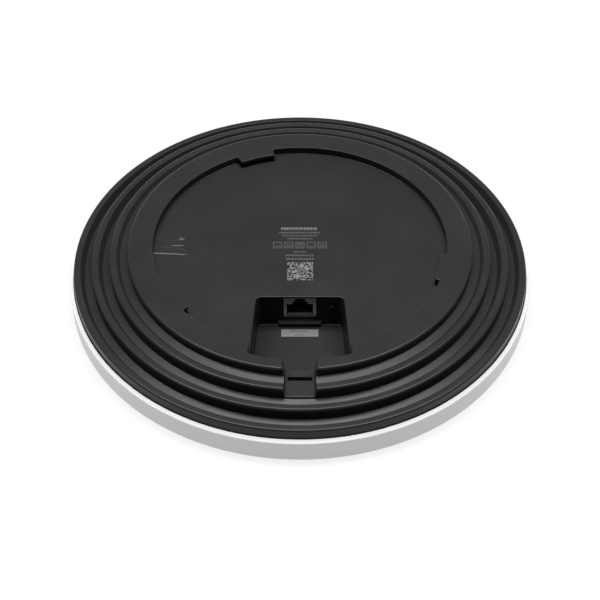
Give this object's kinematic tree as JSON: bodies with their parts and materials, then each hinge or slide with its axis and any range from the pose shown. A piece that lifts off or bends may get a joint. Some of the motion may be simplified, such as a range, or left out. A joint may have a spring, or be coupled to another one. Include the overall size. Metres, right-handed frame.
{
  "type": "ceiling access point",
  "caption": "Disc-shaped wireless access point: white front cover, dark stepped back housing with a bayonet recess, cable pocket, network jack and recessed reset button.",
  "frame": {"origin": "centre of the flat front face, which the part lies on", "axes": "+Z from the front face to the back plateau, -Y toward the cable pocket, +X toward the reset pinhole"},
  "size_m": [0.215, 0.215, 0.026],
  "materials": {
    "white_plastic": "fine matte, slightly warm white",
    "dark_plastic": "fine moulded texture, satin matte",
    "black_plastic": "smooth matte",
    "diffuser": "milky translucent",
    "circuit_board": "solder mask over glass fibre",
    "chip_epoxy": "moulded epoxy",
    "plated_steel": "zinc plated",
    "tinned_steel": "satin tin plate",
    "contact_gold": "gold flash over phosphor bronze",
    "aluminium": "cast and blasted",
    "thermal_pad": "soft silicone",
    "label_film": "printed polyester film",
    "winding_tape": "polyester tape"
  },
  "bodies": {
    "housing": {"antenna_1": "tinned_steel", "antenna_2": "tinned_steel", "antenna_3": "tinned_steel", "antenna_4": "tinned_steel", "antenna_5": "tinned_steel", "antenna_6": "tinned_steel", "antenna_7": "tinned_steel", "antenna_8": "tinned_steel", "back_housing": "dark_plastic", "board_screw_1": "plated_steel", "board_screw_2": "plated_steel", "board_screw_3": "plated_steel", "board_screw_4": "plated_steel", "board_screw_5": "plated_steel", "board_screw_6": "plated_steel", "chip_processor": "chip_epoxy", "chip_radio_high": "chip_epoxy", "chip_radio_low": "chip_epoxy", "chip_radio_mid": "chip_epoxy", "flash_chip": "chip_epoxy", "front_cover": "white_plastic", "heat_sink": "aluminium", "jack_contact_1": "contact_gold", "jack_contact_2": "contact_gold", "jack_contact_3": "contact_gold", "jack_contact_4": "contact_gold", "jack_contact_5": "contact_gold", "jack_contact_6": "contact_gold", "jack_contact_7": "contact_gold", "jack_contact_8": "contact_gold", "jack_insert": "black_plastic", "jack_shell": "tinned_steel", "lan_transformer": "chip_epoxy", "light_guide": "diffuser", "light_ring": "diffuser", "main_board": "circuit_board", "memory_chip": "chip_epoxy", "output_capacitor_1": "aluminium", "output_capacitor_2": "aluminium", "power_inductor": "chip_epoxy", "power_transformer": "winding_tape", "reset_switch_body": "black_plastic", "reset_switch_bracket": "plated_steel", "serial_label": "label_film", "shield_can_processor": "tinned_steel", "shield_can_radio_high": "tinned_steel", "shield_can_radio_low": "tinned_steel", "shield_can_radio_mid": "tinned_steel", "status_led_1": "diffuser", "status_led_2": "diffuser", "status_led_3": "diffuser", "status_led_4": "diffuser", "thermal_pad_processor": "thermal_pad", "thermal_pad_radio_high": "thermal_pad", "thermal_pad_radio_low": "thermal_pad", "thermal_pad_radio_mid": "thermal_pad"},
    "reset_button": {"reset_plunger": "black_plastic"}
  },
  "joints": [
    {"name": "reset_press", "type": "slide", "parent": "housing", "child": "reset_button", "axis": [0, 1, 0], "range_m": [0, 0.0004], "stiffness_N_per_m": 1500}
  ]
}
